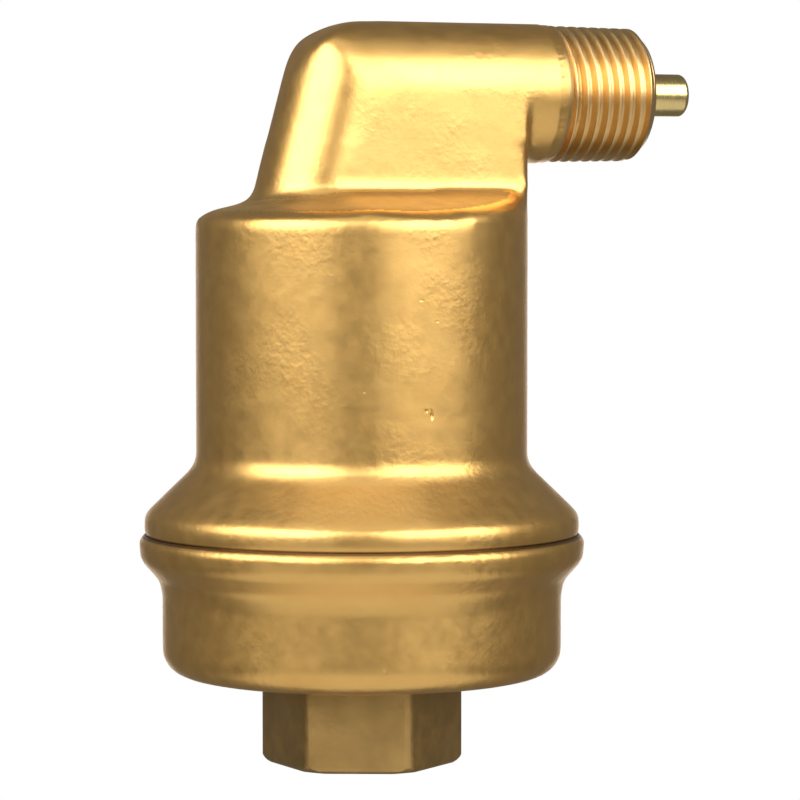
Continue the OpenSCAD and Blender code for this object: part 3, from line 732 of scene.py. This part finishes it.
# %% Bore the lower casting
ring_r = 28.5 * mm
ring_h = 4.4 * mm
ring_edge = 0.4 * mm
lower_bore_r = 25.6 * mm
ledge_z, floor_z, floor_bore_r, throat_r = 18.6 * mm, 17.4 * mm, 21 * mm, 8 * mm
closing_outline = [
    (0, seam_z - spare), (ring_r, seam_z - spare), (ring_r, seam_z + ring_h - ring_edge),
    (ring_r - ring_edge, seam_z + ring_h), (0, seam_z + ring_h),
]
seal_r = 1.2 * mm
groove_z, groove_r = seam_z - 2 * seal_r, ring_r + 2 * seal_r + 0.1 * mm
groove_outline = [
    (ring_r, groove_z), (groove_r, groove_z), (groove_r, seam_z + spare), (ring_r, seam_z + spare),
    (ring_r, groove_z),
]
combine(lower, lathe("groove", groove_outline, steps=144), "DIFFERENCE")
combine(lower, lathe("closing_ring", closing_outline, steps=144), "UNION")
baffle_top, snap_top, snap_r = ledge_z + plate_t, ledge_z + plate_t + ring_t, lower_bore_r + ring_depth
inside_top = seam_z + ring_h + spare
inside_outline = [
    (0, inlet_depth - spare), (throat_r, inlet_depth - spare), (throat_r, floor_z), (floor_bore_r, floor_z),
    (floor_bore_r, ledge_z), (lower_bore_r, ledge_z), (lower_bore_r, baffle_top), (snap_r, baffle_top),
    (snap_r, snap_top), (lower_bore_r, snap_top), (lower_bore_r, inside_top), (0, inside_top),
]
combine(lower, lathe("inside", inside_outline, steps=128), "DIFFERENCE")
print("lower casting bored:", len(lower.data.polygons), "faces")

# %% [markdown]
# The female thread is cut with the same threaded bar, which works as a tap. It is trimmed to the depth of the
# thread, and a plain bar with a cone at the mouth is added to it for the hole itself.

# %% Cut the inlet thread
inlet_major_r = inlet_minor_r + thread_depth
tap_relief_r = inlet_minor_r + 1.6 * mm
tap = threaded_bar("tap", inlet_major_r, -3 * pitch, turns=12, height=0)
tap.data.transform(Matrix.Rotation(math.radians(-90), 4, "Y"))
tap_outline = [
    (0, -spare), (inlet_major_r + 0.4 * mm, -spare), (inlet_major_r + 0.4 * mm, 0),
    (inlet_minor_r + 0.3 * mm, 0.9 * mm), (tap_relief_r, 0.95 * mm), (tap_relief_r, inlet_depth - 1.6 * mm),
    (inlet_minor_r, inlet_depth), (0, inlet_depth),
]
mouth_outline = [
    (0, -spare), (inlet_major_r + 0.2 * mm, -spare), (inlet_major_r + 0.2 * mm, 0),
    (inlet_minor_r, thread_depth), (inlet_minor_r, inlet_depth), (0, inlet_depth),
]
combine(tap, lathe("tap_length", tap_outline, steps=96), "INTERSECT")
combine(tap, lathe("mouth", mouth_outline, steps=96), "UNION")
combine(lower, tap, "DIFFERENCE")
print("lower casting:", len(lower.data.polygons), "faces")

# %% [markdown]
# ## Vent tube
# The thin tube in the outlet's end carries the air to a drain hose. It is drawn brass, turned at the end with
# a rounded lip, and its inner end is thinner, where it is pressed into the bush. One lathed section makes it.

# %% Turn the vent tube
tube_low, tube_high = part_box("vent_tube")
tube_r = tube_high.y
tube_bore_r = 1.9 * mm
tube_neck_r = 2.9 * mm
bush_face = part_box("outlet_bush")[1].x
tube_lip = 0.9 * mm
neck_edge, mouth_edge = 0.3 * mm, 0.25 * mm
tube_outline = [
    (tube_bore_r, tube_low.x), (tube_neck_r - neck_edge, tube_low.x), (tube_neck_r, tube_low.x + neck_edge),
    (tube_neck_r, bush_face), (tube_r, bush_face),
]
tube_outline += [(r, x) for x, r in arc((tube_high.x - tube_lip, tube_r - tube_lip), tube_lip, 90, 0, 8)]
tube_outline += [
    (tube_bore_r + mouth_edge, tube_high.x), (tube_bore_r, tube_high.x - mouth_edge),
    (tube_bore_r, tube_low.x),
]
tube = lathe("vent_tube_drawn", tube_outline, along="X", height=outlet_z, steps=64)
print("vent tube:", len(tube.data.polygons), "faces")

# %% [markdown]
# ## Opening spring
# A light coil spring sits on the float's rod and presses the float down, so that the valve opens surely. A
# real coil is a wire bent to a helix. A small circle of wire is drawn and a Screw modifier winds it, with the
# ends filled. As the float rises the coil is squeezed towards its upper end.

# %% Wind the spring
spring_low, spring_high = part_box("opening_spring")
wire_r = 0.25 * mm
coil_r = spring_high.x - wire_r
coils = 6
deselect()
bpy.ops.mesh.primitive_circle_add(vertices=12, radius=wire_r, location=(coil_r, 0, spring_low.z + wire_r),
                                  rotation=(math.radians(90), 0, 0), fill_type="NOTHING")
spring = bpy.context.object
spring.name = spring.data.name = "opening_spring_coil"
bpy.ops.object.transform_apply(location=True, rotation=True, scale=True)
bpy.ops.object.modifier_add(type="SCREW")
winding = spring.modifiers[-1]
winding.axis, winding.angle, winding.iterations = "Z", math.tau, coils
winding.screw_offset = (spring_high.z - spring_low.z - 2 * wire_r) / coils
winding.steps = winding.render_steps = 40
bpy.ops.object.modifier_apply(modifier=winding.name)
bpy.ops.object.mode_set(mode="EDIT")
bpy.ops.mesh.select_mode(type="EDGE")
bpy.ops.mesh.select_all(action="SELECT")
bpy.ops.mesh.remove_doubles(threshold=weld_gap)
bpy.ops.mesh.select_all(action="DESELECT")
bpy.ops.mesh.select_non_manifold()
bpy.ops.mesh.fill_holes(sides=0)
bpy.ops.mesh.select_all(action="SELECT")
bpy.ops.mesh.normals_make_consistent(inside=False)
bpy.ops.object.mode_set(mode="OBJECT")
print("spring:", coils, "coils,", len(spring.data.polygons), "faces")

# %% [markdown]
# ## Materials
# Every finish is made from nodes, on object coordinates, so that a pattern stays fixed to its piece. A metal
# is the Principled shader with Metallic at 1. What tells one metal from another is its colour, and what tells
# a casting from a turned part is its roughness and relief: a casting has a fine grain in all directions,
# while a turned part has rings round its axis.


# %% Material helpers
def new_material(name):
    """A new material, with its nodes, its links and its Principled shader."""
    made = bpy.data.materials.new(name)
    made.use_nodes = True
    return made, made.node_tree.nodes, made.node_tree.links, made.node_tree.nodes["Principled BSDF"]


def pattern_place(nodes, links, stretch=(1, 1, 1)):
    """Object coordinates, stretched along the axes."""
    where, mapping = nodes.new("ShaderNodeTexCoord"), nodes.new("ShaderNodeMapping")
    mapping.inputs["Scale"].default_value = stretch
    links.new(where.outputs["Object"], mapping.inputs["Vector"])
    return mapping.outputs["Vector"]


def noise(nodes, links, place, size, detail=2.0, roughness=0.5):
    """Soft noise with patches of about that size, in metres."""
    made = nodes.new("ShaderNodeTexNoise")
    made.inputs["Scale"].default_value = 1 / size
    made.inputs["Detail"].default_value = detail
    made.inputs["Roughness"].default_value = roughness
    links.new(place, made.inputs["Vector"])
    return made.outputs["Fac"]


def ramp(nodes, links, value, stops):
    """Turn a value into colours or greys between stops."""
    made = nodes.new("ShaderNodeValToRGB")
    for i, (at, colour) in enumerate(stops):
        stop = made.color_ramp.elements[i] if i < 2 else made.color_ramp.elements.new(at)
        stop.position, stop.color = at, (*colour, 1) if len(colour) == 3 else colour
    links.new(value, made.inputs["Fac"])
    return made.outputs["Color"]


def grey(value):
    """A colour without a tint."""
    return (value, value, value)


def relief(nodes, links, shader, layers):
    """Stack bumps: each layer is a height and a depth in metres."""
    below = None
    for height, depth in layers:
        bump = nodes.new("ShaderNodeBump")
        bump.inputs["Distance"].default_value = depth
        links.new(height, bump.inputs["Height"])
        if below:
            links.new(below, bump.inputs["Normal"])
        below = bump.outputs["Normal"]
    links.new(below, shader.inputs["Normal"])


# %% [markdown]
# The joint between the two castings shows as a thin dark line: shade in the narrow gap, with some oil and
# dust. A real gap that narrow would need a very fine mesh. So both castings get a narrow dark band of
# painted shade in their colour instead, at the height of the seam.

# %% Painted shade line in the joint
joint_half = 0.2 * mm
# Dark brown of the joint: painted shade of the unmodelled gap, with some dirt.
joint_shade_and_dirt = (0.26, 0.15, 0.055)


def dark_line(nodes, links, place, colour, height):
    """Darken a colour in a narrow level band at a height, as painted shade of the joint's gap."""
    split, away = nodes.new("ShaderNodeSeparateXYZ"), nodes.new("ShaderNodeMath")
    size = nodes.new("ShaderNodeMath")
    away.operation, size.operation = "SUBTRACT", "ABSOLUTE"
    away.inputs[1].default_value = height
    fade, mixed = nodes.new("ShaderNodeMapRange"), nodes.new("ShaderNodeMix")
    fade.inputs["From Min"].default_value = joint_half
    fade.inputs["From Max"].default_value = 2 * joint_half
    mixed.data_type = "RGBA"
    mixed.inputs[6].default_value = (*joint_shade_and_dirt, 1)
    links.new(place, split.inputs[0])
    links.new(split.outputs["Z"], away.inputs[0])
    links.new(away.outputs[0], size.inputs[0])
    links.new(size.outputs[0], fade.inputs["Value"])
    links.new(fade.outputs[0], mixed.inputs[0])
    links.new(colour, mixed.inputs[7])
    return mixed.outputs[2]


# %% [markdown]
# ## Brass finishes
# The castings are lightly blasted, so they are satin and faintly blotchy. The shoulder beside the head and
# the hexagon are duller, as raw brass is, and much browner: that darker tone is painted shade, on the
# shoulder for the dim light it mirrors and on the hexagon for the shade under the skirt, with a darker
# forged skin. The outlet's thread and the vent tube come off a lathe.
# One recipe makes every cast finish and another one every turned finish, and only tones and gloss change.


# %% Brass finishes
def cast_metal(name, dark, mid, light, rough=(0.32, 0.39), grain=0.008, joint=None):
    """A blasted metal: satin, faintly blotchy, with a fine grain and patches of a coarser one."""
    made, nodes, links, shader = new_material(name)
    place = pattern_place(nodes, links)
    blotches = noise(nodes, links, place, 9 * mm, 3.0, 0.6)
    colour = ramp(nodes, links, blotches, [(0.3, dark), (0.5, mid), (0.72, light)])
    if joint:
        # The joint's band is painted shade of the gap between the castings, with some dirt.
        colour = dark_line(nodes, links, place, colour, joint)
    links.new(colour, shader.inputs["Base Color"])
    patches = noise(nodes, links, place, 2.5 * mm, 3.0, 0.6)
    links.new(ramp(nodes, links, patches, [(0.3, grey(rough[0])), (0.7, grey(rough[1]))]),
              shader.inputs["Roughness"])
    shader.inputs["Metallic"].default_value = 1.0
    fine, peel = noise(nodes, links, place, 0.3 * mm, 3.0, 0.6), noise(nodes, links, place, 0.9 * mm, 1.0)
    wide = noise(nodes, links, place, 11 * mm, 2.0)
    where = ramp(nodes, links, wide, [(0.42, grey(0.15)), (0.6, grey(1.0))])
    product = nodes.new("ShaderNodeMath")
    product.operation = "MULTIPLY"
    links.new(peel, product.inputs[0])
    links.new(where, product.inputs[1])
    relief(nodes, links, shader, [(product.outputs[0], 5 * grain * mm), (fine, grain * mm)])
    return made


turning_ring = 0.12 * mm
turning_depth = 0.004 * mm


def turned_metal(name, colour, light, rough=0.22, along=(1, 0, 0)):
    """A metal turned on a lathe: bright, with fine rings round its axis."""
    made, nodes, links, shader = new_material(name)
    stretch = [1.0 if a else 0.03 for a in along]
    rings = noise(nodes, links, pattern_place(nodes, links, stretch), turning_ring, 2.0)
    soft = noise(nodes, links, pattern_place(nodes, links), 4 * mm, 2.0)
    links.new(ramp(nodes, links, soft, [(0.35, colour), (0.7, light)]), shader.inputs["Base Color"])
    links.new(ramp(nodes, links, rings, [(0.2, grey(rough * 0.8)), (0.8, grey(rough * 1.25))]),
              shader.inputs["Roughness"])
    shader.inputs["Metallic"].default_value = 1.0
    relief(nodes, links, shader, [(rings, turning_depth)])
    return made


# Both castings carry the painted shade band of the joint at the seam height.
cast_brass = cast_metal("cast_brass", (0.82, 0.482, 0.145), (0.84, 0.505, 0.157), (0.86, 0.53, 0.17),
                        joint=seam_z)
forged_brass = cast_metal("forged_brass", (0.77, 0.45, 0.135), (0.81, 0.485, 0.15), (0.84, 0.515, 0.165),
                          joint=seam_z)
turned_brass = turned_metal("turned_brass", (0.84, 0.53, 0.18), (0.88, 0.58, 0.22))
# Shoulder brass: rougher, as raw brass is, and darker in colour as painted shade for the dim light it
# mirrors.
shaded_raw_brass = cast_metal("shaded_raw_brass", (0.44, 0.29, 0.11), (0.48, 0.32, 0.12), (0.53, 0.35, 0.135),
                       rough=(0.48, 0.58))
# Hexagon brass: darker in colour as painted shade under the skirt, with a duller forged skin.
shaded_hexagon_brass = cast_metal("shaded_hexagon_brass", (0.42, 0.26, 0.09), (0.50, 0.31, 0.105), (0.58, 0.365, 0.13),
                           rough=(0.36, 0.48))
thread_brass = turned_metal("thread_brass", (0.70, 0.46, 0.19), (0.76, 0.51, 0.22), rough=0.34)
tube_brass = turned_metal("tube_brass", (0.78, 0.59, 0.24), (0.82, 0.64, 0.28), rough=0.24)
print("brass finishes made")

# %% [markdown]
# ## Steel, rubber and plastic
# Inside are stainless pins and plates, a steel spring, rubber seals, a hollow plastic float and a plastic
# bush. The steel takes the recipes of the brass, with grey tones. Rubber and plastic aren't metal, so they
# get a recipe of their own: two close tones, an uneven gloss and a fine grain.


# %% Steel, rubber and plastic
def plain_dielectric(name, dark, light, rough, blotch, grain, sheen=0.0):
    """Rubber or plastic: two close tones, an uneven gloss and a fine grain."""
    made, nodes, links, shader = new_material(name)
    place = pattern_place(nodes, links)
    tones = noise(nodes, links, place, blotch, 3.0)
    links.new(ramp(nodes, links, tones, [(0.3, dark), (0.7, light)]), shader.inputs["Base Color"])
    patches = noise(nodes, links, place, blotch / 3, 3.0)
    links.new(ramp(nodes, links, patches, [(0.3, grey(rough * 0.85)), (0.7, grey(rough * 1.1))]),
              shader.inputs["Roughness"])
    shader.inputs["Sheen Weight"].default_value = sheen
    relief(nodes, links, shader, [(noise(nodes, links, place, 0.25 * mm, 2.0), grain)])
    return made


stainless_steel = turned_metal("stainless_steel", grey(0.60), grey(0.68), rough=0.24, along=(0, 1, 0))
stainless_sheet = cast_metal("stainless_sheet", grey(0.52), grey(0.58), grey(0.64), rough=(0.28, 0.4),
                             grain=0.004)
spring_steel = turned_metal("spring_steel", grey(0.42), grey(0.52), rough=0.3, along=(0, 0, 1))
seal_rubber = plain_dielectric("seal_rubber", grey(0.012), grey(0.022), 0.55, 3 * mm, 0.01 * mm, sheen=0.1)
float_plastic = plain_dielectric("float_plastic", (0.70, 0.68, 0.62), (0.78, 0.77, 0.72), 0.42, 8 * mm,
                                 0.006 * mm)
bearing_plastic = plain_dielectric("bearing_plastic", (0.80, 0.77, 0.68), (0.86, 0.84, 0.77), 0.35, 4 * mm,
                                   0.003 * mm)
finishes = {
    "cast_brass": cast_brass, "forged_brass": forged_brass, "turned_brass": turned_brass,
    "vent_tube_brass": tube_brass, "stainless_steel": stainless_steel, "stainless_sheet": stainless_sheet,
    "spring_steel": spring_steel, "seal_rubber": seal_rubber, "float_plastic": float_plastic,
    "bearing_plastic": bearing_plastic,
}
print("finishes:", sorted(finishes))


# %% [markdown]
# ## Dress the pieces
# A new piece gets its materials, smooth shading with sharp edges kept sharp, the body it rides on and the
# parts it stands for. The parts that stay as they were in the frame get the same finishes.


# %% Finish the new pieces
crease_angle = math.radians(35)


def finish_piece(piece, material, body, slot, *stands_for):
    """Dress a piece, shade it, and say which body it rides on and which nodes it stands for."""
    take(piece)
    piece.data.materials.clear()
    piece.data.materials.append(material)
    bpy.ops.object.shade_smooth_by_angle(angle=crease_angle)
    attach(piece, body)
    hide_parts(*stands_for)
    print(piece.name, "->", body, slot)


finish_piece(upper, cast_brass, "housing", "cast_brass", "upper_housing")
finish_piece(lower, forged_brass, "housing", "forged_brass", "lower_housing")
finish_piece(tube, tube_brass, "housing", "vent_tube_brass", "vent_tube")
finish_piece(spring, spring_steel, "housing", "spring_steel", "opening_spring")
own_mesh(spring)


# %% [markdown]
# One casting can show more than one finish. The thread, the raw shoulder and the hexagon get their own
# material, face by face: a test on the middle and the direction of a face tells whether it belongs. The
# shoulder's and the hexagon's materials are darker with painted shade.


# %% Dress the thread, the shoulder and the hexagon
def dress_faces(piece, material, wanted):
    """Give the faces whose middle and direction pass the test another material."""
    piece.data.materials.append(material)
    index = len(piece.data.materials) - 1
    dressed = 0
    for face in piece.data.polygons:
        if wanted(face.center, face.normal):
            face.material_index = index
            dressed += 1
    print(piece.name, "has", dressed, "faces in", material.name)


def on_thread(p, _):
    """The outside of the spigot, from the start of its thread."""
    off_outlet = math.hypot(p.y, p.z - outlet_z)
    return p.x > thread_start + 0.2 * mm and off_outlet > spigot_bore_r + 1 * mm


def on_shoulder(p, normal):
    """The level part of the shoulder, inside the rim and below the head."""
    inside_rim = math.hypot(p.x, p.y) < barrel_r - 2.4 * mm
    return normal.z > 0.8 and inside_rim and ceiling_z + 1 * mm < p.z < foot_line_z + 0.4 * mm


def on_hexagon(p, _):
    """Everything below the skirt, outside the inlet's hole."""
    return p.z < skirt_z + 0.1 * mm and math.hypot(p.x, p.y) > throat_r + 3 * mm


dress_faces(upper, thread_brass, on_thread)
# The level shoulder gets rougher brass whose darker colour is painted shade.
dress_faces(upper, shaded_raw_brass, on_shoulder)
# The hexagon gets brass darkened with painted shade from under the skirt, and a duller forged skin.
dress_faces(lower, shaded_hexagon_brass, on_hexagon)

# %% Dress the parts that stay
replaced = {"upper_housing", "lower_housing", "vent_tube", "opening_spring"}
slots = {part["node"]: part["material_slot"] for part in frame["record"]["subparts"]}
for node, part in frame["nodes"].items():
    if node not in replaced:
        part.data.materials.clear()
        part.data.materials.append(finishes[slots[node]])
print("dressed", len(frame["nodes"]) - len(replaced), "parts of the frame")
